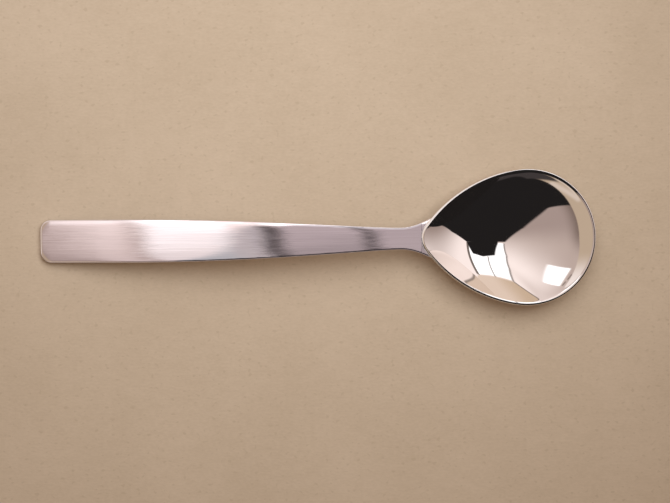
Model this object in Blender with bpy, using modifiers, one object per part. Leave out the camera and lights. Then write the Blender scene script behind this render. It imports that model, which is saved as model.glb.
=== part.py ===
"""Sugar spoon in two soldered pieces: a forged satin handle and a pressed, mirror-polished bowl.

The spoon lies as it would on a table: bowl towards +X, handle end towards -X, table at z = 0. Its
length is centred on the origin. The bowl is a sheet pressing with one even wall. The handle ends in
a tongue that is cut to the outside of the bowl, and a film of solder fills the joint between them.
"""

import math

import bmesh
import bpy
import numpy as np

# Whole spoon, in metres
SPOON_LENGTH = 0.140

# Bowl: a pear outline of three tangent arcs, pressed deepest towards the neck
BOWL_WIDTH = 0.0344
BOWL_LENGTH_RATIO = 1.273  # length over width
HEEL_RADIUS = 0.0055  # outline arc at the neck end
SIDE_CENTRE_SHARE = 0.148  # where the side arcs centre, along the line between the end arcs
HEEL_RIM_HEIGHT = 0.0084
TIP_RIM_HEIGHT = 0.0078
DEEPEST_SHARE = 0.40  # where the bowl touches the table, from heel to tip
TIP_FULLNESS = 0.80  # 0 is a parabola, 1 an ellipse that meets the rim upright
SIDE_FULLNESS = 0.0
HEEL_FULLNESS = -1.20  # below 0 it opens out like a hyperbola
BOWL_WALL = 0.00068
RIM_TRIM = 0.03  # share of the reach that is pressed too high, then ground off flat
LIP_ROUNDING = 0.00022

# Handle, seen from above
GRIP_WIDTH = 0.01077
NECK_WIDTH = 0.00553
GRIP_LENGTH = 0.0228  # parallel stretch at the end
END_CORNER_RADIUS = 0.0022
NECK_RUN = 0.0055  # from the narrowest point to the bowl's heel
NECK_EASE = 0.05  # share of the taper that the neck's hollow takes up
SHOULDER_RADIUS = 0.013
TONGUE_REACH = 0.0088  # how far the tongue runs past the heel, below the bowl
TONGUE_ROUNDNESS = 0.985  # 1 would bring its end to a point

# Handle, seen from the side
END_THICKNESS = 0.0018
NECK_THICKNESS = 0.0027
TONGUE_THICKNESS = 0.00065  # below the bowl, at the tongue's end
GRIP_FLAT = 0.014  # straight stretch of the grip
GRIP_SLOPE = 0.235
NECK_SLOPE = -0.22
END_ROUNDING = 0.0005

# Handle sections: two half superellipses that meet at the widest line
EDGE_DROP = 0.00045  # from the crown to the widest line
CROWN_POWER = 6.0
GRIP_POWER = 5.0
NECK_POWER = 2.4

# Joint between handle and bowl
SOLDER_FILM = 0.00025
JOINT_CLEARANCE = 0.0001

# Finishes: colour, then roughness
POLISHED_STEEL = (0.86, 0.83, 0.81), 0.06
SATIN_STEEL = (0.74, 0.69, 0.69), 0.32
SILVER_SOLDER = (0.88, 0.86, 0.84), 0.22

# Mesh resolution
BOWL_TURNS = 96
BOWL_RINGS = 15
HEEL_SPACING = 0.016  # evens out the points between the large and small arcs of the outline
CROWN_STEPS = 10
BELLY_STEPS = 15
END_STEPS = 6
GRIP_STEPS = 4
TAPER_STEPS = 22
NECK_STEPS = 16

# Worked out from the sizes above
BOWL_LENGTH = BOWL_WIDTH * BOWL_LENGTH_RATIO
END_X = -SPOON_LENGTH / 2
TIP_X = SPOON_LENGTH / 2
HEEL_X = TIP_X - BOWL_LENGTH
DEEPEST_X = HEEL_X + DEEPEST_SHARE * BOWL_LENGTH
GRIP_X = END_X + GRIP_LENGTH
NECK_X = HEEL_X - NECK_RUN
TONGUE_X = HEEL_X + TONGUE_REACH
CUTTER_RISE = HEEL_RIM_HEIGHT
RIM_TILT = math.atan2(HEEL_RIM_HEIGHT - TIP_RIM_HEIGHT, BOWL_LENGTH)
LIP_ANGLE = math.radians(35)  # sharper edges than this are rounded


def smooth(share):
    """Eases from 0 to 1 with level ends."""
    share = min(max(share, 0.0), 1.0)
    return share * share * (3 - 2 * share)


def hermite(share, start, end, start_slope, end_slope, run):
    """Height at a share of a cubic stretch, from its end heights, end slopes and run."""
    square, cube = share**2, share**3
    return (
        (2 * cube - 3 * square + 1) * start
        + (cube - 2 * square + share) * run * start_slope
        + (3 * square - 2 * cube) * end
        + (cube - square) * run * end_slope
    )


def rim_height(x):
    """The rim is one plane that falls from the heel to the tip."""
    return HEEL_RIM_HEIGHT + (TIP_RIM_HEIGHT - HEEL_RIM_HEIGHT) * (x - HEEL_X) / BOWL_LENGTH


def bowl_outline(share):
    """Point of the outer rim at a share of the half outline, from the tip (0) to the heel (1), y >= 0.

    A turn of the small heel arc counts for more than its length, so that its points lie closer.
    """
    tip_radius = BOWL_WIDTH / 2
    span = BOWL_LENGTH - tip_radius - HEEL_RADIUS
    shift = SIDE_CENTRE_SHARE * span
    reach = (span**2 + 2 * span * shift) / (tip_radius - HEEL_RADIUS)
    side_radius = (reach + tip_radius + HEEL_RADIUS) / 2
    drop = math.sqrt((side_radius - tip_radius) ** 2 - shift**2)
    tip_turn = math.atan2(drop, -shift)
    heel_turn = math.atan2(drop, -shift - span)
    tip_centre = TIP_X - tip_radius
    arcs = (
        (tip_centre, 0.0, tip_radius, 0.0, tip_turn),
        (tip_centre + shift, -drop, side_radius, tip_turn, heel_turn),
        (tip_centre - span, 0.0, HEEL_RADIUS, heel_turn, math.pi),
    )
    left = share * sum((radius + HEEL_SPACING) * (end - start) for _, _, radius, start, end in arcs)
    for centre_x, centre_y, radius, start, end in arcs:
        turn = min(start + left / (radius + HEEL_SPACING), end)
        left -= (radius + HEEL_SPACING) * (turn - start)
        if turn < end:
            break
    return centre_x + radius * math.cos(turn), centre_y + radius * math.sin(turn)


def pressed_depth(reach, fullness):
    """Share of the rim height at a share of the way from the deepest point to the rim."""
    return reach**2 * (1 + math.sqrt(1 - fullness)) / (1 + math.sqrt(1 - fullness * reach**2))


def bowl_surface(turn, reach):
    """Point of the bowl's outside: turn runs round the outline from the tip, reach from bottom to rim."""
    around = math.remainder(turn, math.tau)
    rim_x, rim_y = bowl_outline(abs(around) / math.pi)
    rim_y = math.copysign(rim_y, around)
    ahead = reach * (rim_x - DEEPEST_X) / math.hypot(rim_x - DEEPEST_X, rim_y)
    change, bend = (TIP_FULLNESS - HEEL_FULLNESS) / 2, (TIP_FULLNESS + HEEL_FULLNESS) / 2 - SIDE_FULLNESS
    fullness = SIDE_FULLNESS + change * ahead + bend * ahead**2
    x = DEEPEST_X + reach * (rim_x - DEEPEST_X)
    return x, reach * rim_y, rim_height(rim_x) * pressed_depth(reach, fullness)


def bowl_underside(x):
    """Height of the bowl's outside on its centre line, between the heel and the deepest point."""
    return bowl_surface(math.pi, (DEEPEST_X - x) / (DEEPEST_X - HEEL_X))[2]


def handle_half_width(x):
    """Parallel grip, a sine taper to the neck, hollow shoulders, then the round end of the tongue."""
    if x < NECK_X:
        taper = min((NECK_X - x) / (NECK_X - GRIP_X), 1.0)
        eased = (math.hypot(taper, NECK_EASE) - NECK_EASE) / (math.hypot(1, NECK_EASE) - NECK_EASE)
        half = (NECK_WIDTH + (GRIP_WIDTH - NECK_WIDTH) * math.sin(eased * math.pi / 2)) / 2
        inset = max(END_CORNER_RADIUS - (x - END_X), 0.0)
        return half - END_CORNER_RADIUS + math.sqrt(END_CORNER_RADIUS**2 - inset**2)
    half = NECK_WIDTH / 2 + (x - NECK_X) ** 2 / (2 * SHOULDER_RADIUS)
    past = TONGUE_ROUNDNESS * max(x - HEEL_X, 0.0) / TONGUE_REACH
    return half * math.sqrt(1 - past**2)


def handle_top(x):
    """Straight grip, then one cubic arch up to the bowl's rim."""
    flat_x = END_X + GRIP_FLAT
    flat_height = END_THICKNESS + GRIP_SLOPE * GRIP_FLAT
    if x < flat_x:
        return END_THICKNESS + GRIP_SLOPE * (x - END_X)
    if x > HEEL_X:
        return rim_height(x)
    run = HEEL_X - flat_x
    return hermite((x - flat_x) / run, flat_height, HEEL_RIM_HEIGHT, GRIP_SLOPE, NECK_SLOPE, run)


def handle_belly(x):
    """Underside: thickening to the neck, then one cubic sweep down below the bowl to the tongue's end."""
    if x < NECK_X:
        share = smooth((x - END_X - GRIP_FLAT) / (NECK_X - END_X - GRIP_FLAT))
        return handle_top(x) - END_THICKNESS - (NECK_THICKNESS - END_THICKNESS) * share
    run = TONGUE_X - NECK_X
    step = TONGUE_REACH / NECK_STEPS
    slope = (bowl_underside(TONGUE_X) - bowl_underside(TONGUE_X - step)) / step
    start = handle_top(NECK_X) - NECK_THICKNESS
    end = bowl_underside(TONGUE_X) - TONGUE_THICKNESS
    return hermite((x - NECK_X) / run, start, end, NECK_SLOPE, slope, run)


def handle_section(x):
    """Closed ring of points: a crown above the widest line and a deeper belly below it."""
    half, top, bottom = handle_half_width(x), handle_top(x), handle_belly(x)
    inset = max(1 - (x - END_X) / END_ROUNDING, 0.0)
    trim = END_ROUNDING * (1 - math.sqrt(1 - inset**2)) / 2
    widest = top - EDGE_DROP
    toward_neck = smooth((x - GRIP_X) / (HEEL_X - GRIP_X))
    belly_power = GRIP_POWER + (NECK_POWER - GRIP_POWER) * toward_neck
    ring = []
    for power, rise, steps, side in (
        (CROWN_POWER, top - trim - widest, CROWN_STEPS, 1.0),
        (belly_power, bottom + trim - widest, BELLY_STEPS, -1.0),
    ):
        for turn in np.linspace(0, math.pi, steps, endpoint=False):
            across, up = math.cos(turn), math.sin(turn)
            y = side * half * math.copysign(abs(across) ** (2 / power), across)
            ring.append((x, y, widest + rise * up ** (2 / power)))
    return ring


def handle_stations():
    """Places of the sections: closest together round the end corners and at the tongue's end."""
    turns = np.linspace(0, math.pi / 2, END_STEPS, endpoint=False)
    corner = END_X + END_CORNER_RADIUS * (1 - np.cos(turns))
    rounding = END_X + END_ROUNDING * (1 - np.cos(turns[1::2]))
    grip = np.linspace(END_X + END_CORNER_RADIUS, GRIP_X, GRIP_STEPS, endpoint=False)
    taper = np.linspace(GRIP_X, NECK_X, TAPER_STEPS, endpoint=False)
    neck = NECK_X + (TONGUE_X - NECK_X) * np.sin(np.linspace(0, math.pi / 2, NECK_STEPS))
    return np.unique(np.concatenate([corner, rounding, grip, taper, neck]))


def loft(bm, rings):
    """Skins a row of rings with quads and closes both ends."""
    rows = [[bm.verts.new(point) for point in ring] for ring in rings]
    count = len(rows[0])
    for low, high in zip(rows, rows[1:]):
        for i in range(count):
            j = (i + 1) % count
            bm.faces.new((low[i], low[j], high[j], high[i]))
    bm.faces.new(rows[0])
    bm.faces.new(rows[-1])
    bmesh.ops.recalc_face_normals(bm, faces=bm.faces)


def press_bowl(bm, height=1.0):
    """Presses the lower half of a sphere into the open outer surface of the bowl, up to a share of its rim."""
    bmesh.ops.create_uvsphere(bm, u_segments=BOWL_TURNS, v_segments=2 * BOWL_RINGS, radius=1.0)
    half_ring = math.pi / (4 * BOWL_RINGS)
    upper = [vert for vert in bm.verts if vert.co.z > math.sin(half_ring)]
    bmesh.ops.delete(bm, geom=upper, context="VERTS")
    for vert in bm.verts:
        turn = math.atan2(vert.co.y, vert.co.x)
        reach = math.acos(min(max(-vert.co.z, 0.0), 1.0)) / (math.pi / 2)
        vert.co = bowl_surface(turn, reach * height)


def add_object(name, bm, collection, material=None):
    """A named object made from the mesh in hand."""
    mesh = bpy.data.meshes.new(name)
    bm.to_mesh(mesh)
    bm.free()
    obj = bpy.data.objects.new(name, mesh)
    collection.objects.link(obj)
    if material:
        mesh.materials.append(material)
    return obj


def steel(name, colour, roughness):
    """A bare metal of one colour and roughness."""
    material = bpy.data.materials.new(name)
    material.use_nodes = True
    shader = material.node_tree.nodes["Principled BSDF"]
    shader.inputs["Base Color"].default_value = (*colour, 1.0)
    shader.inputs["Metallic"].default_value = 1.0
    shader.inputs["Roughness"].default_value = roughness
    return material


def bowl_cutter(name, growth, collection):
    """The bowl's filled outside, carried up past the rim and grown by a clearance."""
    bm = bmesh.new()
    press_bowl(bm)
    rim = [edge for edge in bm.edges if edge.is_boundary]
    raised = bmesh.ops.extrude_edge_only(bm, edges=rim)["geom"]
    top = [item for item in raised if isinstance(item, bmesh.types.BMVert)]
    bmesh.ops.translate(bm, verts=top, vec=(0.0, 0.0, CUTTER_RISE))
    bmesh.ops.contextual_create(bm, geom=[edge for edge in bm.edges if edge.is_boundary])
    bmesh.ops.recalc_face_normals(bm, faces=bm.faces)
    cutter = add_object(name, bm, collection)
    grow = cutter.modifiers.new("growth", "DISPLACE")
    grow.strength = growth
    grow.mid_level = 0.0
    cutter.display_type = "WIRE"
    cutter.hide_render = True
    return cutter


def apply_cutter(obj, cutter, operation):
    """Adds one Boolean step to a piece."""
    cut = obj.modifiers.new(f"{operation.lower()} {cutter.name}", "BOOLEAN")
    cut.operation = operation
    cut.solver = "EXACT"
    cut.object = cutter


def rim_grinder(name, collection):
    """A block whose lower face is the plane of the rim."""
    bm = bmesh.new()
    bmesh.ops.create_cube(bm, size=2 * BOWL_LENGTH)
    bmesh.ops.translate(bm, verts=bm.verts, vec=(0.0, 0.0, BOWL_LENGTH))
    grinder = add_object(name, bm, collection)
    middle_x = (HEEL_X + TIP_X) / 2
    grinder.location = (middle_x, 0.0, rim_height(middle_x))
    grinder.rotation_euler.y = RIM_TILT
    grinder.display_type = "WIRE"
    grinder.hide_render = True
    return grinder


def make_bowl(collection, grinder):
    """A sheet of even thickness, pressed a little too high, ground flat at the rim and rounded there."""
    bm = bmesh.new()
    press_bowl(bm, 1 + RIM_TRIM)
    bowl = add_object("bowl", bm, collection, steel("polished_steel", *POLISHED_STEEL))
    wall = bowl.modifiers.new("wall", "SOLIDIFY")
    wall.thickness = BOWL_WALL
    wall.offset = -1.0
    wall.use_even_offset = True
    apply_cutter(bowl, grinder, "DIFFERENCE")
    lip = bowl.modifiers.new("lip", "BEVEL")
    lip.width = LIP_ROUNDING
    lip.segments = 2
    lip.limit_method = "ANGLE"
    lip.angle_limit = LIP_ANGLE
    return bowl


def make_handle(collection, cutter):
    """One loft from the grip's end to the tongue, cut away where the bowl and its solder sit."""
    bm = bmesh.new()
    loft(bm, [handle_section(x) for x in handle_stations()])
    handle = add_object("handle", bm, collection, steel("satin_steel", *SATIN_STEEL))
    apply_cutter(handle, cutter, "DIFFERENCE")
    return handle


def make_solder(collection, outer, inner):
    """The part of the handle's forging that the joint leaves between its two clearances."""
    bm = bmesh.new()
    loft(bm, [handle_section(x) for x in handle_stations() if x >= NECK_X])
    solder = add_object("solder_seam", bm, collection, steel("silver_solder", *SILVER_SOLDER))
    apply_cutter(solder, outer, "INTERSECT")
    apply_cutter(solder, inner, "DIFFERENCE")
    return solder


def main():
    for obj in list(bpy.data.objects):
        bpy.data.objects.remove(obj)
    scene_collection = bpy.context.scene.collection
    spoon = bpy.data.collections.new("sugar_spoon")
    cutters = bpy.data.collections.new("cutters")
    scene_collection.children.link(spoon)
    scene_collection.children.link(cutters)
    solder_face = JOINT_CLEARANCE + SOLDER_FILM
    make_bowl(spoon, rim_grinder("rim_grinder", cutters))
    make_handle(spoon, bowl_cutter("handle_joint", solder_face + JOINT_CLEARANCE, cutters))
    make_solder(
        spoon,
        bowl_cutter("solder_outer", solder_face, cutters),
        bowl_cutter("solder_inner", JOINT_CLEARANCE, cutters),
    )


main()
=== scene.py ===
# %% [markdown]
# # A sugar spoon in satin and polished steel
# The spoon is two pieces of steel and the solder between them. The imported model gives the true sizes, and
# this file adds what a camera sees: fine surfaces, brushed and polished finishes, and soft studio light.
# Each step makes one thing and prints what it made.

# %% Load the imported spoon
import math

import bpy
import numpy as np
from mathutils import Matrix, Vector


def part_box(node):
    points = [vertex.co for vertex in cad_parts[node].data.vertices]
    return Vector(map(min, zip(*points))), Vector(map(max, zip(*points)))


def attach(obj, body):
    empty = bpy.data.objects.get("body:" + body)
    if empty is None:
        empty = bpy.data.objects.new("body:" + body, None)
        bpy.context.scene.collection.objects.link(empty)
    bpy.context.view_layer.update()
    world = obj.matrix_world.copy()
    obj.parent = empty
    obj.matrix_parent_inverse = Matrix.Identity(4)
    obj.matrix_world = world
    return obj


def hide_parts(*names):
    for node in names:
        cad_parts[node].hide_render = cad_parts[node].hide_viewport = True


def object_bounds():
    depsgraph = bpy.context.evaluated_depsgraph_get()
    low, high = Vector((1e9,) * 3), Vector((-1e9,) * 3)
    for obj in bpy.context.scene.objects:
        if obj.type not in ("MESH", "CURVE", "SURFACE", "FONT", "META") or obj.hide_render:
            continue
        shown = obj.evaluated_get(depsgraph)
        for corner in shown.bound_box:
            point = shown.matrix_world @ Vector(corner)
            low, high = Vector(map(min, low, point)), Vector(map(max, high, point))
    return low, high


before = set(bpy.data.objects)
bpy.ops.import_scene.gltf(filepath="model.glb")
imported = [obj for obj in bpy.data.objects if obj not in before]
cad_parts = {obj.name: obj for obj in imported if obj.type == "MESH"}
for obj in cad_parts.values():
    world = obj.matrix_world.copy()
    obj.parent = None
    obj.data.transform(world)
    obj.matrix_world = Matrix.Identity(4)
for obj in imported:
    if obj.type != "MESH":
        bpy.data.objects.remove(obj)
cad_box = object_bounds()
print("CAD box in mm:", [[round(1000 * v, 2) for v in corner] for corner in cad_box])

# %% [markdown]
# ## Sizes
# The frame gives the ends of the spoon and of its bowl. What a box can't tell, such as how full the bowl is
# or how the handle arches, could be typed in where it is used. It is written here once instead, in metres,
# with the values of the solids but for a softer crown and rounder end corners on the handle.

# %% Sizes from the frame, and the rest in metres
bowl_low, bowl_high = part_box("bowl")
handle_low, handle_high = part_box("handle")
END_X, HEEL_X, TIP_X = handle_low.x, bowl_low.x, bowl_high.x
BOWL_LENGTH, BOWL_WIDTH = TIP_X - HEEL_X, bowl_high.y - bowl_low.y

HEEL_RADIUS = 0.0055
SIDE_CENTRE_SHARE = 0.148
HEEL_RIM_HEIGHT, TIP_RIM_HEIGHT = 0.0084, 0.0078
DEEPEST_SHARE = 0.40
TIP_FULLNESS, SIDE_FULLNESS, HEEL_FULLNESS = 0.80, 0.0, -1.20
BOWL_WALL = 0.00068
DEEPEST_X = HEEL_X + DEEPEST_SHARE * BOWL_LENGTH

GRIP_WIDTH, NECK_WIDTH = 0.01077, 0.00553
GRIP_LENGTH, GRIP_FLAT, NECK_RUN = 0.0228, 0.014, 0.0055
GRIP_X, FLAT_X, NECK_X = END_X + GRIP_LENGTH, END_X + GRIP_FLAT, HEEL_X - NECK_RUN
NECK_EASE = 0.05
END_CORNER_RADIUS = 0.0027
SHOULDER_RADIUS = 0.013
TONGUE_X = handle_high.x
TONGUE_ROUNDNESS = 0.985

END_THICKNESS, NECK_THICKNESS, TONGUE_THICKNESS = 0.0018, 0.0027, 0.00065
GRIP_SLOPE, NECK_SLOPE = 0.235, -0.22
END_ROUNDING = 0.0005
EDGE_DROP = 0.00045
CROWN_POWER, GRIP_POWER, NECK_POWER = 3.6, 5.0, 2.4
print(f"bowl {1000 * BOWL_LENGTH:.1f} x {1000 * BOWL_WIDTH:.1f} mm, handle from x {1000 * END_X:.1f} mm")

# %% [markdown]
# ## From a grid of points to a mesh
# Every piece is a formula worked out on a grid: rows run one way over the surface and columns go round it.
# A grid needs no modelling tools, only a rule for its faces: each four neighbours make one quad, the last
# column joins the first, and a row that shrinks to a point becomes a fan of triangles. Whole arrays keep it
# fast.


# %% A grid that goes round becomes a closed piece
def closed_grid(name, rows):
    """A mesh from rows of points that go round; the first and last row are poles, one point each."""
    count = rows.shape[1]
    poles = np.stack([rows[0].mean(0), rows[-1].mean(0)])
    points = np.concatenate([rows[1:-1].reshape(-1, 3), poles])
    index = np.arange(len(points) - 2).reshape(-1, count)
    ahead = np.roll(index, -1, axis=1)
    quads = np.stack([index[:-1], ahead[:-1], ahead[1:], index[1:]], axis=-1).reshape(-1, 4)
    first = np.stack([np.full(count, len(points) - 2), ahead[0], index[0]], axis=-1)
    last = np.stack([np.full(count, len(points) - 1), index[-1], ahead[-1]], axis=-1)
    return new_piece(name, points, quads.tolist() + first.tolist() + last.tolist())


def new_piece(name, points, faces):
    """An object at the origin, smooth, with its place in its mesh."""
    mesh = bpy.data.meshes.new(name)
    mesh.from_pydata(points, [], faces)
    mesh.update()
    mesh.shade_smooth()
    piece = bpy.data.objects.new(name, mesh)
    bpy.context.scene.collection.objects.link(piece)
    print(f"{name}: {len(points)} points, {len(faces)} faces")
    return piece


# %% [markdown]
# ## The bowl
# The bowl is sheet steel, pressed to a pear-shaped mouth and polished inside and out. A subdivided cage
# could give the form, but a mirror shows the smallest break in a curve. So the mouth is three arcs that run
# into each other, passed through a gentle low-pass filter, and the hollow is filled in by a formula with no
# seam in it: the outline is a sum of waves, and each wave fades towards the middle by its own power of the
# radius. The mouth is drawn a little larger than the finished bowl, because the lip is cut back from it.

# %% The mouth of the bowl
WIDTH_GROWTH, LENGTH_GROWTH = 0.00042, 0.00072


def pear_arcs(shares):
    """Points of the half outline from tip to heel: a tip arc, a side arc that touches it, and a heel arc.

    The side arc's centre lies beyond the axis. Its radius is the one that touches both end arcs from inside.
    """
    tip_radius = BOWL_WIDTH / 2 + WIDTH_GROWTH
    span = BOWL_LENGTH + LENGTH_GROWTH - tip_radius - HEEL_RADIUS
    shift = SIDE_CENTRE_SHARE * span
    side_radius = ((span**2 + 2 * span * shift) / (tip_radius - HEEL_RADIUS) + tip_radius + HEEL_RADIUS) / 2
    drop = math.sqrt((side_radius - tip_radius) ** 2 - shift**2)
    tip_x = TIP_X + LENGTH_GROWTH - tip_radius
    centre = np.array([tip_x, tip_x + shift - 1j * drop, tip_x - span])
    radius = np.array([tip_radius, side_radius, HEEL_RADIUS])
    turns = np.array([0, math.atan2(drop, -shift), math.atan2(drop, -shift - span), math.pi])
    lengths = np.concatenate([[0], np.cumsum(radius * np.diff(turns))])
    along = shares * lengths[-1]
    arc = np.clip(np.searchsorted(lengths, along, side="right") - 1, 0, 2)
    return centre[arc] + radius[arc] * np.exp(1j * (turns[arc] + (along - lengths[arc]) / radius[arc]))


OUTLINE_POINTS = 4096
half_outline = pear_arcs(np.linspace(0, 1, OUTLINE_POINTS))
whole_outline = np.concatenate([half_outline, np.conj(half_outline[-2:0:-1])])
print(f"mouth outline: {len(whole_outline)} points, widest {2000 * whole_outline.imag.max():.2f} mm")

# %% The outline as waves about the deepest point
WAVES, WAVE_FADE = 40, 0.6
HALVINGS = 40


def outline_waves(pole_x):
    """Wave numbers and sizes of the outline, read by its direction as seen from a point on the axis."""
    direction = np.unwrap(np.angle(whole_outline - pole_x))
    even = np.linspace(0, 2 * np.pi, OUTLINE_POINTS, endpoint=False)
    distance = np.interp(even, direction, np.abs(whole_outline - pole_x), period=2 * np.pi)
    waves = np.fft.fft(pole_x + distance * np.exp(1j * even)) / OUTLINE_POINTS
    number = np.fft.fftfreq(OUTLINE_POINTS, 1 / OUTLINE_POINTS).astype(int)
    kept = np.abs(number) <= WAVES
    return number[kept], (waves * np.exp(-((number / (WAVE_FADE * WAVES)) ** 4)))[kept]


def settle_pole():
    """The point to look from so that the filled outline's middle is the deepest point, found by halving."""
    near, far = HEEL_X, TIP_X
    for _ in range(HALVINGS):
        middle = (near + far) / 2
        number, size = outline_waves(middle)
        if size[number == 0].real[0] < DEEPEST_X:
            near = middle
        else:
            far = middle
    return middle


wave_number, wave_size = outline_waves(settle_pole())
print(f"deepest point at x {1000 * wave_size[wave_number == 0].real[0]:.2f} mm, {len(wave_number)} waves")

# %% [markdown]
# ## From mouth to bottom
# Seen from the side, the sheet falls from the rim in a curve. A profile could be drawn by hand on each side,
# but one number, the fullness, blends better round the bowl: 0 is a parabola, 1 an ellipse that meets the
# rim upright, and below 0 it opens out like a hyperbola. It is low at the heel, where the bowl runs into the
# neck, and high at the tip. A place on the bowl is one complex number: its size is the reach from the bottom
# to the rim, and its angle says which way.


# %% The bowl's outside
def rim_height(x):
    """The rim is one plane that falls from the heel to the tip."""
    return HEEL_RIM_HEIGHT + (TIP_RIM_HEIGHT - HEEL_RIM_HEIGHT) * (x - HEEL_X) / BOWL_LENGTH


def bowl_outside(place):
    """Points of the outside: each wave fades as reach to the power of its number.

    Height over rim height is r r (1 + root(1 - f)) / (1 + root(1 - f r r)) for reach r and fullness f.
    """
    turned = np.where(wave_number < 0, np.conj(place)[..., None], place[..., None])
    flat = (wave_size * turned ** np.abs(wave_number)).sum(-1)
    ends, bend = (TIP_FULLNESS - HEEL_FULLNESS) / 2, (TIP_FULLNESS + HEEL_FULLNESS) / 2 - SIDE_FULLNESS
    fullness = SIDE_FULLNESS + ends * place.real + bend * place.real**2
    square = np.abs(place) ** 2
    fall = square * (1 + np.sqrt(1 - fullness)) / (1 + np.sqrt(1 - fullness * square))
    return np.stack([flat.real, flat.imag, rim_height(flat.real) * fall], axis=-1)


def bowl_normal(place):
    """Which way the hollow side faces: the cross product of the slopes along and across."""
    step = 1e-4
    along = bowl_outside(place + step) - bowl_outside(place - step)
    across = bowl_outside(place + 1j * step) - bowl_outside(place - 1j * step)
    up = np.cross(along, across)
    return up / np.linalg.norm(up, axis=-1, keepdims=True)


def bowl_inside(place):
    """The outside moved inwards by the wall."""
    return bowl_outside(place) + BOWL_WALL * bowl_normal(place)


BOWL_COLUMNS, BOWL_ROWS = 480, 82
bowl_turns = np.exp(1j * np.linspace(0, 2 * np.pi, BOWL_COLUMNS, endpoint=False))
print("depth at the middle in mm:", round(1000 * float(rim_height(DEEPEST_X)), 2))

# %% [markdown]
# ## The lip
# The rim was left a little thicker than the wall and polished round, and the wheel eased the hollow towards
# level just inside it. So it shows a white line where it faces the light and a dark one beside it. A Bevel
# modifier rounds an edge too, but it can't thicken or flare it. Here the lip is one more stretch of the same
# grid: in section half an ellipse that stands on the wall's two edges, flatter at the heel, where it was
# filed down to the handle.

# %% The bowl with its lip
LIP_STEPS = 15
LIP_TRIM, LIP_FILED = 0.0275, 0.0085
LIP_HEIGHT, HEEL_FLATTENING = 0.9, 0.75
LIP_SWELL, SWELL_POWER = 0.00026, 12
LIP_FLARE, FLARE_POWER = 0.00008, 130
at_heel = ((1 - bowl_turns.real) / 2) ** 3


def bowl_edge(place):
    """The outside with its thicker rim: it swells as a power of the reach, but not at the soldered heel."""
    swell = LIP_SWELL * (1 - at_heel) * np.abs(place) ** SWELL_POWER
    return bowl_outside(place) - swell[..., None] * bowl_normal(place)


def bowl_flare(share, inner):
    """The inside, eased towards level at the rim: it drops as a high power of the share of the reach."""
    drop = LIP_FLARE * (1 - at_heel) * share**FLARE_POWER
    return bowl_inside(share * inner) - drop[..., None] * np.array([0, 0, 1])


def lip_rows(outer, inner):
    """Half ellipses over the rim: middle + half chord x cos + a share of its length, square to it, x sin."""
    start, end = bowl_edge(outer), bowl_flare(1, inner)
    chord = (start - end) / 2
    up = np.cross(chord, np.roll(start, -1, axis=0) - np.roll(start, 1, axis=0))
    share = LIP_HEIGHT * (1 - HEEL_FLATTENING * at_heel)
    height = share * np.linalg.norm(chord, axis=-1) / np.linalg.norm(up, axis=-1)
    turn = np.linspace(0, np.pi, LIP_STEPS)[:, None, None]
    return (start + end) / 2 + np.cos(turn) * chord + np.sin(turn) * height[:, None] * up


def bowl_rows():
    """Rows from the bottom of the outside, over the lip, to the bottom of the inside."""
    outer = (1 - LIP_TRIM * (1 - at_heel)) * bowl_turns
    inner = outer - LIP_FILED * at_heel * bowl_turns
    shares = np.sin(np.linspace(0, np.pi / 2, BOWL_ROWS))[:-1, None]
    inside = bowl_flare(shares[::-1], inner)
    return np.concatenate([bowl_edge(shares * outer), lip_rows(outer, inner), inside])


bowl_grid = bowl_rows()
bowl = closed_grid("polished_bowl", bowl_grid)
lip_tip, lip_side, _ = 1000 * bowl_grid.max((0, 1))
print(f"bowl {2 * lip_side:.2f} mm wide over its lip, with its tip at x {lip_tip:.2f} mm")

# %% [markdown]
# ## The handle
# The handle is forged from a bar: a flat grip, one long arch, a thick neck, shoulders that flare to the bowl
# and a tongue below it. Extruding and bevelling a box would leave its edges too even. A loft through
# superellipses follows the forging, with one section every few tenths of a millimetre: the crown is nearly
# flat with small round edges, and the belly is rounder towards the neck.


# %% The handle's width and top
def ease(share):
    """Goes from 0 to 1 with level ends: 3 s s - 2 s s s."""
    share = np.clip(share, 0, 1)
    return share**2 * (3 - 2 * share)


def cubic(share, start, end, start_slope, end_slope, run):
    """Cubic stretch between two heights with given end slopes."""
    square, cube = share**2, share**3
    heights = (2 * cube - 3 * square + 1) * start + (3 * square - 2 * cube) * end
    return heights + run * ((cube - 2 * square + share) * start_slope + (cube - square) * end_slope)


def half_width(x):
    """Grip, sine taper to the neck, parabola shoulders, then an ellipse round the end of the tongue."""
    taper = np.clip((NECK_X - x) / (NECK_X - GRIP_X), 0, 1)
    eased = (np.hypot(taper, NECK_EASE) - NECK_EASE) / (math.hypot(1, NECK_EASE) - NECK_EASE)
    half = (NECK_WIDTH + (GRIP_WIDTH - NECK_WIDTH) * np.sin(eased * np.pi / 2)) / 2
    inset = np.maximum(END_CORNER_RADIUS - (x - END_X), 0)
    half = half - END_CORNER_RADIUS + np.sqrt(END_CORNER_RADIUS**2 - inset**2)
    half = half + np.maximum(x - NECK_X, 0) ** 2 / (2 * SHOULDER_RADIUS)
    past = TONGUE_ROUNDNESS * np.maximum(x - HEEL_X, 0) / (TONGUE_X - HEEL_X)
    return half * np.sqrt(1 - past**2)


def arch(x):
    """A straight grip, then one cubic arch to the heel."""
    run = HEEL_X - FLAT_X
    flat_height = END_THICKNESS + GRIP_SLOPE * (FLAT_X - END_X)
    curve = cubic((x - FLAT_X) / run, flat_height, HEEL_RIM_HEIGHT, GRIP_SLOPE, NECK_SLOPE, run)
    return np.where(x < FLAT_X, END_THICKNESS + GRIP_SLOPE * (x - END_X), curve)


def handle_top(x):
    """The arch as far as the heel, then the rim plane."""
    return np.where(x > HEEL_X, rim_height(x), arch(x))


print(f"handle: highest {1000 * handle_top(np.linspace(END_X, HEEL_X, 999)).max():.2f} mm")

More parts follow.
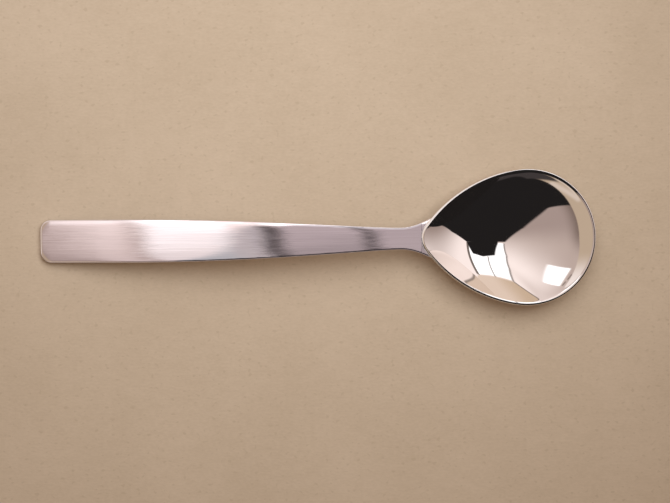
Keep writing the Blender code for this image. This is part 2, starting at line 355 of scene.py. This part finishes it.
# %% The belly and the tongue
KEEL_POINTS = 400
END_SLOPE_SHARE = 0.05


def keel(x):
    """Height of the bowl's outside on its centre line, between the heel and the deepest point."""
    reach = np.linspace(-1, 0, KEEL_POINTS)
    line = bowl_outside(reach.astype(complex))
    return np.interp(x, line[:, 0], line[:, 2])


def handle_belly(x):
    """Thickens to the neck, then one cubic sweep below the bowl to the tongue's end."""
    thick = END_THICKNESS + (NECK_THICKNESS - END_THICKNESS) * ease((x - FLAT_X) / (NECK_X - FLAT_X))
    run = TONGUE_X - NECK_X
    step = END_SLOPE_SHARE * run
    slope = (keel(TONGUE_X) - keel(TONGUE_X - step)) / step
    start, end = handle_top(NECK_X) - NECK_THICKNESS, keel(TONGUE_X) - TONGUE_THICKNESS
    sweep = cubic((x - NECK_X) / run, start, end, NECK_SLOPE, slope, run)
    return np.where(x < NECK_X, handle_top(x) - thick, sweep)


print(f"tongue ends {1000 * (keel(TONGUE_X) - handle_belly(TONGUE_X)):.2f} mm thick")

# %% The handle's sections
HANDLE_COLUMNS = 128
CAP_SHARES = np.array([0.0, 0.5, 0.94])
CORNER_STEPS, TAPER_STEPS, TONGUE_STEPS = 14, 260, 70


def section_rows(x):
    """Superellipse sections: along the ray at angle a the size is (|cos a|^p + |sin a|^p)^(-1/p)."""
    x = x[:, None]
    angle = np.linspace(0, 2 * np.pi, HANDLE_COLUMNS, endpoint=False)
    across, up = np.cos(angle), np.sin(angle)
    belly_power = GRIP_POWER + (NECK_POWER - GRIP_POWER) * ease((x - GRIP_X) / (HEEL_X - GRIP_X))
    power = np.where(up > 0, CROWN_POWER, belly_power)
    size = (np.abs(across) ** power + np.abs(up) ** power) ** (-1 / power)
    inset = np.maximum(1 - (x - END_X) / END_ROUNDING, 0)
    trim = END_ROUNDING * (1 - np.sqrt(1 - inset**2)) / 2
    widest = handle_top(x) - EDGE_DROP
    rise = np.where(up > 0, EDGE_DROP - trim, widest - handle_belly(x) - trim)
    return np.stack([x + 0 * size, half_width(x) * size * across, widest + rise * size * up], axis=-1)


def capped(rows):
    """Rows with flat caps: each end row drawn in towards its middle."""
    ends = [row.mean(0) + CAP_SHARES[:, None, None] * (row - row.mean(0)) for row in (rows[0], rows[-1])]
    return np.concatenate([ends[0], rows, ends[1][::-1]])


corner_shares = 1 - np.cos(np.linspace(0, np.pi / 2, CORNER_STEPS))
tongue_shares = np.sin(np.linspace(0, np.pi / 2, TONGUE_STEPS))
stations = np.unique(np.concatenate([
    END_X + END_CORNER_RADIUS * corner_shares,
    END_X + END_ROUNDING * corner_shares[1::3],
    np.linspace(END_X + END_CORNER_RADIUS, NECK_X, TAPER_STEPS),
    NECK_X + (TONGUE_X - NECK_X) * tongue_shares,
]))
print(f"{len(stations)} sections of {HANDLE_COLUMNS} points")

# %% [markdown]
# ## The joint
# The handle's shoulders and tongue wrap round the outside of the bowl, with a film of solder between. One
# way is to work out where every line of the loft meets the bowl. A Boolean cut with the bowl's own grown
# outside does the same job in one step, and both pieces then share one curve. The handle stays three
# hundredths of a millimetre clear of the solder, and the solder of the bowl, so that no dark line shows.

# %% Cutters from the bowl's own formula
SOLDER_FILM = 0.00025
JOINT_CLEARANCE = 0.00003
CUTTER_RISE = 0.01
CUTTER_ROWS = 60
SHARP_ANGLE = math.radians(35)


def bowl_cutter(growth):
    """The bowl's outside moved outwards by a growth, carried straight up past the rim and closed."""
    reach = np.sin(np.linspace(0, np.pi / 2, CUTTER_ROWS))[:, None]
    place = reach * bowl_turns[::2]
    shell = bowl_outside(place) - growth * bowl_normal(place)
    raised = shell[-1:] + np.array([0, 0, CUTTER_RISE])
    lid = np.broadcast_to(raised.mean(1, keepdims=True), raised.shape)
    return closed_grid("cutter", np.concatenate([shell, raised, lid]))


def cut(piece, growth, operation):
    """Cuts a piece with the grown bowl, keeps the result as its mesh and removes the cutter."""
    cutter = bowl_cutter(growth)
    step = piece.modifiers.new("joint", "BOOLEAN")
    step.operation = operation
    step.solver = "MANIFOLD"
    step.object = cutter
    done = piece.evaluated_get(bpy.context.evaluated_depsgraph_get())
    shaped = bpy.data.meshes.new_from_object(done)
    piece.modifiers.clear()
    piece.data = shaped
    shaped.set_sharp_from_angle(angle=SHARP_ANGLE)
    bpy.data.objects.remove(cutter)


handle = closed_grid("satin_handle", capped(section_rows(stations)))
solder = closed_grid("solder_line", capped(section_rows(stations[stations > NECK_X])))
cut(handle, 2 * JOINT_CLEARANCE + SOLDER_FILM, "DIFFERENCE")
cut(solder, JOINT_CLEARANCE + SOLDER_FILM, "INTERSECT")
cut(solder, JOINT_CLEARANCE, "DIFFERENCE")
print(f"handle {len(handle.data.polygons)} faces, solder {len(solder.data.polygons)} faces after the cut")

# %% [markdown]
# ## Tying the pieces to the model
# Each drawn piece rides on the imported body and takes the place of one solid. A parent set
# by hand would do for a still, but this way the spoon also keeps its weight and collision.

# %% Every piece rides on the spoon and stands for its solid
for piece, node, finish in (
    (bowl, "bowl", "polished_steel"),
    (handle, "handle", "satin_steel"),
    (solder, "solder_seam", "silver_solder"),
):
    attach(piece, "root")
    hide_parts(node)

# %% [markdown]
# ## Shader maths as Python
# A finish is a small program on the surface. Nodes can be dragged by hand, but that is slow to read back. So
# one class wraps a node's output: adding or multiplying two of them adds a Math node, and one method adds
# any other node.


# %% A wire that does its own maths
class Wire:
    """One output of a node. Arithmetic adds Math nodes to the same tree."""

    def __init__(self, tree, socket=None):
        self.tree = tree
        self.socket = socket

    def node(self, kind, settings=None, inputs=None, output=0):
        """Adds a node: its settings first, then values or links for its sockets. Gives one output."""
        made = self.tree.nodes.new("ShaderNode" + kind)
        for name, value in (settings or {}).items():
            setattr(made, name, value)
        self.feed(made, inputs or {})
        return Wire(self.tree, made.outputs[output])

    def feed(self, made, inputs):
        """Sets or links the sockets of a node."""
        for name, value in inputs.items():
            if isinstance(value, Wire):
                self.tree.links.new(value.socket, made.inputs[name])
            else:
                made.inputs[name].default_value = value

    def math(self, operation, *values):
        """A Math node on values and wires."""
        return self.node("Math", {"operation": operation}, dict(enumerate(values)))

    def __add__(self, other):
        return self.math("ADD", self, other)

    def __radd__(self, other):
        return self.math("ADD", other, self)

    def __sub__(self, other):
        return self.math("SUBTRACT", self, other)

    def __rsub__(self, other):
        return self.math("SUBTRACT", other, self)

    def __mul__(self, other):
        return self.math("MULTIPLY", self, other)

    def __rmul__(self, other):
        return self.math("MULTIPLY", other, self)

    def __truediv__(self, other):
        return self.math("DIVIDE", self, other)

    def __rtruediv__(self, other):
        return self.math("DIVIDE", other, self)

    def step(self, low, high):
        """Goes smoothly from 0 at low to 1 at high, also where low is the larger."""
        settings = {"interpolation_type": "SMOOTHSTEP"}
        return self.node("MapRange", settings, {"Value": self, "From Min": low, "From Max": high})

    def mix(self, first, second):
        """A colour between two, by this value."""
        return self.node("Mix", {"data_type": "RGBA"}, {0: self, 6: first, 7: second}, output=2)


def new_finish(name):
    """A material, a wire to start from and its Principled shader."""
    material = bpy.data.materials.new(name)
    material.use_nodes = True
    tree = material.node_tree
    return material, Wire(tree), tree.nodes["Principled BSDF"]


def stretched_noise(wire, lengths, detail=2.0):
    """Noise on Object coordinates whose grains have the given lengths along x, y and z, in metres."""
    place = wire.node("TexCoord", output="Object")
    scale = [1 / length for length in lengths]
    scaled = wire.node("Mapping", {"vector_type": "POINT"}, {"Vector": place, "Scale": scale})
    return wire.node("TexNoise", inputs={"Vector": scaled, "Scale": 1.0, "Detail": detail})


print("shader helpers ready")

# %% [markdown]
# ## Satin steel
# The handle was drawn lengthwise over a fine belt. Thousands of scratches along it scatter light across the
# handle and hardly along it, so dark and bright bands lie square across. An anisotropic shader gives that
# spread too, but real scratches also show as streaks. Noise drawn out along x and turned to bump gives both.

# %% The satin finish
SATIN_DULL, SATIN_BRIGHT = (0.74, 0.69, 0.69, 1), (0.80, 0.75, 0.75, 1)
HAIR_DEPTH = 0.000006


def satin_steel():
    """Hairs and streaks along the handle make the bump, and the streaks also shift tone and roughness."""
    material, wire, shader = new_finish("satin_steel")
    hairs = stretched_noise(wire, (0.030, 0.00010, 0.010))
    streaks = stretched_noise(wire, (0.025, 0.00030, 0.010), detail=4.0)
    cloud = stretched_noise(wire, (0.020, 0.006, 0.006))
    tone = (0.20 * cloud + 0.55 * streaks).step(0.2, 0.55)
    height = hairs + 0.4 * streaks
    bump = wire.node("Bump", inputs={"Strength": 1.0, "Distance": HAIR_DEPTH, "Height": height})
    wire.feed(shader, {
        "Base Color": tone.mix(SATIN_DULL, SATIN_BRIGHT),
        "Metallic": 1.0,
        "Roughness": 0.03 + 0.06 * streaks,
        "Normal": bump,
    })
    return material


handle.data.materials.clear()
handle.data.materials.append(satin_steel())
print("satin_steel on", handle.name)

# %% [markdown]
# ## Polished steel
# The bowl was buffed until it shows the room. What tells it from chrome paint is what use leaves: a faint
# haze and the marks of wiping across it. A bump could carve them, but they are so shallow that they only
# shift the roughness.

# %% The polished finish
POLISH_DULL, POLISH_BRIGHT = (0.86, 0.83, 0.81, 1), (0.90, 0.88, 0.86, 1)


def polished_steel():
    """A mirror that is rougher where haze and wiping marks meet: 0.02 + 0.05 x haze x wipes."""
    material, wire, shader = new_finish("polished_steel")
    haze = stretched_noise(wire, (0.006, 0.006, 0.006), detail=3.0)
    wipes = stretched_noise(wire, (0.0004, 0.009, 0.004))
    wire.feed(shader, {
        "Base Color": haze.mix(POLISH_DULL, POLISH_BRIGHT),
        "Metallic": 1.0,
        "Roughness": 0.02 + 0.05 * haze * wipes,
    })
    return material


bowl.data.materials.append(polished_steel())
print("polished_steel on", bowl.name)

# %% [markdown]
# ## Silver solder
# The line of solder is paler and softer than steel. It was wiped flush and caught by the belt. It is a
# quarter of a millimetre wide, so a bump would be lost on it and one fine grain is enough.

# %% The solder finish
SOLDER_DULL, SOLDER_BRIGHT = (0.84, 0.81, 0.78, 1), (0.95, 0.93, 0.90, 1)


def silver_solder():
    """One fine grain that shifts tone and roughness together."""
    material, wire, shader = new_finish("silver_solder")
    grain = stretched_noise(wire, (0.0006, 0.0002, 0.0002))
    wire.feed(shader, {
        "Base Color": grain.mix(SOLDER_DULL, SOLDER_BRIGHT),
        "Metallic": 1.0,
        "Roughness": 0.25 + 0.2 * grain,
    })
    return material


solder.data.materials.clear()
solder.data.materials.append(silver_solder())
print("silver_solder on", solder.name)

# %% [markdown]
# ## The paper below
# The spoon lies on plain tan paper. It is only the stage, but bare colour would look like plastic. An image
# would do, but noise has no edge and no repeat: a slow cloud, flecks, fine fibres and a few dark specks. Far
# from the spoon the paper glows for the camera alone, so that a low view ends in a pale backdrop and the
# spoon gets no more light.

# %% Floor
FLOOR_HALF = 2.0
FLOOR_DROP = 0.00002
PAPER_DARK, PAPER_PALE = (0.545, 0.425, 0.31, 1), (0.655, 0.52, 0.395, 1)
BACKDROP = (0.60, 0.50, 0.41, 1)
BACKDROP_START, BACKDROP_FULL = 0.15, 0.70


def paper():
    """Tone is a sum of four noises, and the glow grows with the distance from the spoon."""
    material, wire, shader = new_finish("tan_paper")
    cloud = stretched_noise(wire, (0.03, 0.03, 0.03))
    fleck = stretched_noise(wire, (0.0040, 0.0022, 0.0020))
    fibre = stretched_noise(wire, (0.0011, 0.0005, 0.0005), detail=3.0)
    speck = stretched_noise(wire, (0.0013, 0.0010, 0.0010), detail=0.0).step(0.71, 0.78)
    bump = wire.node("Bump", inputs={"Strength": 0.3, "Distance": 0.0001, "Height": fibre})
    place = wire.node("TexCoord", output="Object")
    reach = wire.node("VectorMath", {"operation": "LENGTH"}, {0: place}, output="Value")
    far = reach.step(BACKDROP_START, BACKDROP_FULL) * wire.node("LightPath", output="Is Camera Ray")
    tone = (0.3 * cloud + 0.18 * fleck + 0.30 * fibre - 0.20 * speck).step(0.14, 0.64)
    wire.feed(shader, {
        "Base Color": tone.mix(PAPER_DARK, PAPER_PALE),
        "Roughness": 0.9,
        "Normal": bump,
        "Emission Color": far.mix((0, 0, 0, 1), BACKDROP),
        "Emission Strength": 1.0,
    })
    return material


square = np.array([[-1, -1, 0], [1, -1, 0], [1, 1, 0], [-1, 1, 0]])
floor_height = np.array([0, 0, cad_box[0].z - FLOOR_DROP])
floor = new_piece("paper", FLOOR_HALF * square + floor_height, [[0, 1, 2, 3]])
floor.data.materials.append(paper())

# %% [markdown]
# ## Camera
# The photograph was taken from almost straight above. A camera can be turned by eye until the views agree,
# but a few measures keep it repeatable: the lens follows from the distance and from how many metres one
# pixel covers at the spoon.

# %% Camera
scene = bpy.context.scene
scene.view_settings.view_transform = "Standard"
IMAGE_WIDTH = 670
ELEVATION = math.radians(92)
ROLL = math.radians(-0.60)
DISTANCE = 0.48
PIXEL = 0.0002514
TARGET = (0.0047, -0.0032, 0.005)
CAMERA_PLACE = np.array(TARGET) + DISTANCE * np.array([0, -math.cos(ELEVATION), math.sin(ELEVATION)])

camera_data = bpy.data.cameras.new("camera")
camera_data.sensor_width = 36.0
camera_data.lens = camera_data.sensor_width * DISTANCE / (IMAGE_WIDTH * PIXEL)
camera = bpy.data.objects.new("camera", camera_data)
scene.collection.objects.link(camera)
camera.location = CAMERA_PLACE
camera.rotation_euler = (math.pi / 2 - ELEVATION, 0, ROLL)
scene.camera = camera
print(f"lens {camera_data.lens:.1f} mm")

# %% [markdown]
# ## Lamp
# One soft lamp stands beyond the spoon, so the shadow falls towards the viewer. A sun lamp would light the
# paper evenly. This one is close and its spread is narrowed, so the paper darkens away from it. Polished
# steel would show it as a hard square, so mirrors see the painted room in its place.


# %% Lamp
def area_lamp(name, place, size, power):
    """A rectangular lamp that faces straight down until it is turned, hidden from the camera."""
    data = bpy.data.lights.new(name, "AREA")
    data.shape = "RECTANGLE"
    data.size, data.size_y = size
    data.energy = power
    made = bpy.data.objects.new(name, data)
    made.location = place
    made.visible_camera = False
    scene.collection.objects.link(made)
    return made


LAMP_PLACE, LAMP_AIM = (0.03, 0.13, 0.27), (-0.05, 0.06, 0.0)
LAMP_SIZE, LAMP_SPREAD = (0.32, 0.24), math.radians(103)
LAMP_POWER, LAMP_TINT = 0.375, (0.95, 1.0, 1.03)
lamp = area_lamp("soft_lamp", LAMP_PLACE, LAMP_SIZE, LAMP_POWER)
lamp.data.spread = LAMP_SPREAD
lamp.data.color = LAMP_TINT
lamp.visible_glossy = False
lamp.rotation_euler = (Vector(LAMP_AIM) - Vector(LAMP_PLACE)).to_track_quat("-Z", "Y").to_euler()
print(f"lamp of {LAMP_POWER} W at {LAMP_PLACE}")

# %% [markdown]
# ## Strip lamps for the satin
# Satin shows lamps as bands square across its grain. Each strip lamp is given by the stretch of handle that
# should show it, and the law of the mirror finds its place: the ray from the camera bounces off the handle's
# slope and runs up to the lamps. One large lamp would leave the satin plain. The strips are turned a little,
# because the bands lie aslant, and some start farther back to reach only the upper edge. They hang at
# different heights, so that where two overlap their light adds up. A low panel on the near side keeps the
# satin from going black when seen from behind. Light linking keeps them all off the bowl, which mirrors the
# room alone.

# %% Strip lamps
STRIP_HEIGHT, STRIP_SPACING = 0.60, 0.002
STRIP_PIVOT_Y, STRIP_END_Y = -0.017, 0.40
STRIP_SLANT = math.radians(8)
SLOPE_STEP = 1e-5
ROSE, PALE, COOL = (1.0, 0.84, 0.87), (1.0, 0.92, 0.94), (0.93, 0.985, 1.05)
# First and last x on the handle, where the strip starts in y, its radiance and its tint
STRIPS = {
    "strip_corner": (-0.0950, -0.0630, -0.30, 0.03, PALE),
    "strip_end": (-0.0630, -0.0470, -0.30, 0.26, PALE),
    "strip_end_top": (-0.0630, -0.0470, -0.02, 0.18, PALE),
    "strip_grip": (-0.0432, -0.0215, -0.30, 0.46, COOL),
    "strip_grip_top": (-0.0432, -0.0215, -0.02, 0.38, COOL),
    "strip_fade": (-0.0215, -0.0134, -0.30, 0.48, PALE),
    "strip_middle": (-0.0083, 0.0120, -0.30, 0.32, ROSE),
    "strip_middle_top": (-0.0083, 0.0120, -0.02, 0.14, ROSE),
    "strip_neck": (0.0156, 0.0300, -0.30, 0.42, ROSE),
    "strip_back": (-0.0720, 0.0300, 0.14, 0.28, COOL),
    "strip_fill": (-0.0950, 0.0300, -0.30, 0.13, ROSE),
}


def even_power(radiance, size):
    """Watts of a lamp that looks equally bright from all sides: pi x radiance x area."""
    return math.pi * radiance * size[0] * size[1]


def mirrored_x(x):
    """Where the camera's ray goes off the arch's middle at x: its x at the height of the strips."""
    slope = (arch(x + SLOPE_STEP) - arch(x - SLOPE_STEP)) / (2 * SLOPE_STEP)
    up = np.array([-slope, 0, 1]) / math.hypot(slope, 1)
    point = np.array([x, 0, arch(x)])
    ray = point - CAMERA_PLACE
    ray = ray - 2 * (ray @ up) * up
    return float(point[0] + ray[0] / ray[2] * (STRIP_HEIGHT - point[2]))


satin_only = bpy.data.collections.new("satin_only")
satin_only.objects.link(handle)
satin_only.objects.link(solder)
for level, (name, (first, last, low_y, radiance, tint)) in enumerate(STRIPS.items()):
    low_x, high_x = mirrored_x(first), mirrored_x(last)
    size = (high_x - low_x, STRIP_END_Y - low_y)
    ahead = (STRIP_END_Y + low_y) / 2 - STRIP_PIVOT_Y
    place = (
        (low_x + high_x) / 2 - math.sin(STRIP_SLANT) * ahead,
        STRIP_PIVOT_Y + math.cos(STRIP_SLANT) * ahead,
        STRIP_HEIGHT + STRIP_SPACING * level,
    )
    strip = area_lamp(name, place, size, even_power(radiance, size))
    strip.rotation_euler.z = STRIP_SLANT
    strip.data.color = tint
    strip.light_linking.receiver_collection = satin_only
    print(f"{name}: x {low_x:.3f} to {high_x:.3f} m, {strip.data.energy:.3f} W")

# %% Low panel
PANEL_PLACE, PANEL_SIZE, PANEL_RADIANCE = (0.2, -0.6, 0.32), (2.0, 0.6), 0.20
low_panel = area_lamp("low_panel", PANEL_PLACE, PANEL_SIZE, even_power(PANEL_RADIANCE, PANEL_SIZE))
low_panel.rotation_euler.x = math.pi / 2
low_panel.data.color = ROSE
low_panel.light_linking.receiver_collection = satin_only
print(f"low panel at {PANEL_PLACE}")

# %% [markdown]
# ## The room that the steel mirrors
# A mirror has no look of its own: it needs a room. Modelling one takes many objects, so the room is painted
# on the sky. A direction becomes two flat numbers, as on a map of the sky whose middle is straight up and
# where the horizon is a circle. On that map a wall, a bright softbox and a dark card are shapes with few
# corners. Near the heel the bowl mirrors itself, and the Light Path node tells such a second glance from a
# first one.

# %% Shapes on the map of the sky
DIM, SHADE = (0.36, 0.27, 0.24, 1), (0.43, 0.33, 0.30, 1)
WALL, GLOW = (0.57, 0.45, 0.405, 1), (1.12, 0.97, 0.93, 1)
TABLE, BRIGHT_TABLE = (0.56, 0.43, 0.32, 1), (0.98, 0.86, 0.82, 1)
DARK_TABLE, LOW_RIM = (0.055, 0.046, 0.046, 1), (0.27, 0.21, 0.165, 1)
GLINT, EDGE, CORNER = (0.74, 0.61, 0.52, 1), (0.20, 0.16, 0.14, 1), (0.22, 0.16, 0.135, 1)
WHITE, BLACK = (1.5, 1.48, 1.5, 1), (0.016, 0.014, 0.014, 1)
NEAR, NEAR_GLOSS = (0.66, 0.49, 0.355, 1), (0.84, 0.665, 0.55, 1)
SECOND_WALL, SECOND_SHADE = (1.17, 1.0, 0.95, 1), (0.78, 0.64, 0.585, 1)
SECOND_TABLE = (0.86, 0.68, 0.56, 1)

# The table's far edge: how it leans along x, rises beyond the spoon and bends past a place on the map
EDGE_LEAN, EDGE_RISE, EDGE_BEND, BEND_START = 0.566, 0.08, 0.58, 0.035
EDGE_HIGH, EDGE_LOW = 0.430, 0.418
MAP_LOWEST = -0.6

SOFTBOX = [
    (-0.075, 0.087), (-0.057, 0.254), (-0.008, 0.417), (0.047, 0.537), (0.413, 0.721), (0.370, 0.10),
]
SIDE_CARD = [(-0.208, 0.235), (-0.302, 0.247), (-0.221, 0.425), (-0.136, 0.413)]
NEAR_TABLE = [(0.049, 0.546), (-0.070, 0.64), (-0.10, 1.4), (1.1, 1.4), (0.420, 0.733)]
DARK_CARDS = [
    [
        (-0.085, 0.065), (0.379, 0.100), (0.661, -0.18), (0.853, -0.47),
        (1.2, -1.5), (0.0, -1.5), (-0.161, -0.10),
    ],
    [(-0.34, -0.273), (0.0, -0.265), (0.0, -1.2), (-0.34, -1.2)],
    [(-0.210, -0.280), (-0.165, -0.103), (0.05, -0.09), (0.05, -0.44)],
    [(-0.035, 0.089), (0.031, 0.290), (0.176, 0.363), (0.315, 0.347), (0.379, 0.10), (-0.035, 0.03)],
]
# Each bar has two ends and half its width
GLINT_BAR = ((-0.15, -0.52), (-0.37, -0.325), 0.022)
NEAR_EDGE_BAR = (NEAR_TABLE[0], NEAR_TABLE[1], 0.006)
BARS = {
    "mullion": ((0.111, 0.337), (0.193, 0.642), 0.005),
    "right_frame_low": ((-0.075, 0.087), (-0.057, 0.254), 0.004),
    "right_frame_middle": ((-0.057, 0.254), (-0.008, 0.417), 0.004),
    "right_frame_high": ((-0.008, 0.417), (0.049, 0.546), 0.004),
    "left_frame": ((0.368, 0.10), (0.413, 0.725), 0.0204),
    "far_joint": ((-0.308, 0.303), (-0.278, 0.356), 0.004),
    "near_joint": ((-0.265, 0.376), (-0.238, 0.421), 0.004),
}
print(f"{len(DARK_CARDS)} dark cards, {len(BARS)} bars")


# %% Helpers for the map
def card(s, t, corners, soft=0.008):
    """1 inside a convex shape with corners in clockwise order, 0 outside: the product of its soft sides."""
    inside = 1.0
    for (s0, t0), (s1, t1) in zip(corners, corners[1:] + corners[:1]):
        length = math.hypot(s1 - s0, t1 - t0)
        depth = (s - s0) * ((t1 - t0) / length) - (t - t0) * ((s1 - s0) / length)
        inside = depth.step(-soft, soft) * inside
    return inside


def bar(s, t, start, end, half, soft=0.005):
    """1 on a thin bar between two points of the map."""
    ds, dt = end[0] - start[0], end[1] - start[1]
    over = half / math.hypot(ds, dt)
    sides = [(start[0] + over * dt, start[1] - over * ds), (start[0] - over * dt, start[1] + over * ds)]
    return card(s, t, sides + [(x + ds, y + dt) for x, y in sides[::-1]], soft)


def sky_map(wire):
    """Direction x, y, z and its place on the map, x / (1 + z) and y / (1 + z), with z kept above -1."""
    way = wire.node("TexCoord", output="Generated")
    x, y, z = [wire.node("SeparateXYZ", inputs={0: way}, output=axis) for axis in "XYZ"]
    lift = 1 + z.math("MAXIMUM", z, MAP_LOWEST)
    return x, y, z, x / lift, y / lift


def over_table(x, y, z, s):
    """Height over the table's far edge: z with a lean along x, a rise beyond the spoon and a bend."""
    rise = EDGE_RISE * y.math("MAXIMUM", y, 0.0)
    bend = EDGE_BEND * s.math("MAXIMUM", s - BEND_START, 0.0)
    return z + EDGE_LEAN * x + rise + bend


print("map helpers ready")


# %% The room from back to front
def wall_colours(s, t):
    """Walls that darken away from the softbox, on each side by a rule of its own."""
    near_corner = s.step(0.03, -0.05) * t.step(0.36, 0.55)
    near = s.step(-0.32, -0.06) * t.step(-0.12, 0.35) * (1 - 0.5 * near_corner)
    right = near.mix(t.step(-0.13, 0.10).mix(SHADE, WALL), GLOW)
    left = (0.5 * t - 1.2 * s).step(-1.30, -0.40).mix(DIM, GLOW)
    return s.step(0.2, 0.4).mix(right, left)


def table_colours(s, t):
    """The table top in the distance: dark on one side, bright on the other, with one pale glint."""
    colour = (t + s.step(-0.58, -0.72)).step(0.10, 0.37).mix(TABLE, BRIGHT_TABLE)
    colour = bar(s, t, *GLINT_BAR, soft=0.02).mix(colour, GLINT)
    dark = s.math("MINIMUM", t + 0.5 * s, -0.60 - s).step(-0.61, -0.635)
    return dark.mix(colour, s.step(0.40, 0.72).mix(DARK_TABLE, BLACK))


def second_glance(s, t):
    """What the bowl shows of itself: table, edge and wall side by side, and black below them."""
    second = s.step(0.34, 0.54).mix(s.step(0.245, 0.262).mix(SECOND_TABLE, SECOND_WALL), SECOND_SHADE)
    second = (0.75 * s.step(0.241, 0.251) * s.step(0.267, 0.256)).mix(second, EDGE)
    return t.step(-0.05, 0.05).mix(BLACK, second)


def room(wire):
    """Colours of the room, painted over each other from back to front."""
    x, y, z, s, t = sky_map(wire)
    colour = card(s, t, SOFTBOX).mix(wall_colours(s, t), WHITE)
    for start, end, half in BARS.values():
        colour = bar(s, t, start, end, half).mix(colour, EDGE)
    colour = card(s, t, SIDE_CARD).mix(colour, WHITE)
    above = over_table(x, y, z, s)
    colour = (above.step(0.55, 0.41) * t.step(0.18, -0.07)).mix(colour, CORNER)
    for corners in DARK_CARDS:
        colour = card(s, t, corners).mix(colour, BLACK)
    low = above.step(EDGE_HIGH, EDGE_LOW) * s.step(0.60, 0.50)
    colour = low.mix(colour, table_colours(s, t))
    colour = card(s, t, NEAR_TABLE).mix(colour, s.step(0.02, 0.28).mix(NEAR, NEAR_GLOSS))
    colour = bar(s, t, *NEAR_EDGE_BAR).mix(colour, EDGE)
    colour = (t + 0.55 * s).step(-0.80, -0.86).mix(colour, LOW_RIM)
    return wire.node("LightPath", output="Glossy Depth").step(1.1, 1.9).mix(colour, second_glance(s, t))


# %% [markdown]
# ## Who sees the room
# A painted sky would light the paper too, and every change to it would change the paper. Two pictures could
# be laid over each other, but the Light Path node does it in one: mirror rays see the room, the camera sees
# a plain backdrop, and all other rays get one even, dim light.

# %% Room for mirrors, even light for the rest
AMBIENT = (0.225, 0.147, 0.088, 1)

world = bpy.data.worlds.new("room")
world.use_nodes = True
world.cycles.sampling_method = "NONE"
scene.world = world
sky = Wire(world.node_tree)
seen = sky.node("LightPath", output="Is Camera Ray").mix(AMBIENT, BACKDROP)
mirrored = sky.node("LightPath", output="Is Glossy Ray").mix(seen, room(sky))
sky.feed(world.node_tree.nodes["Background"], {"Color": mirrored})
print(f"room painted with {len(world.node_tree.nodes)} nodes")
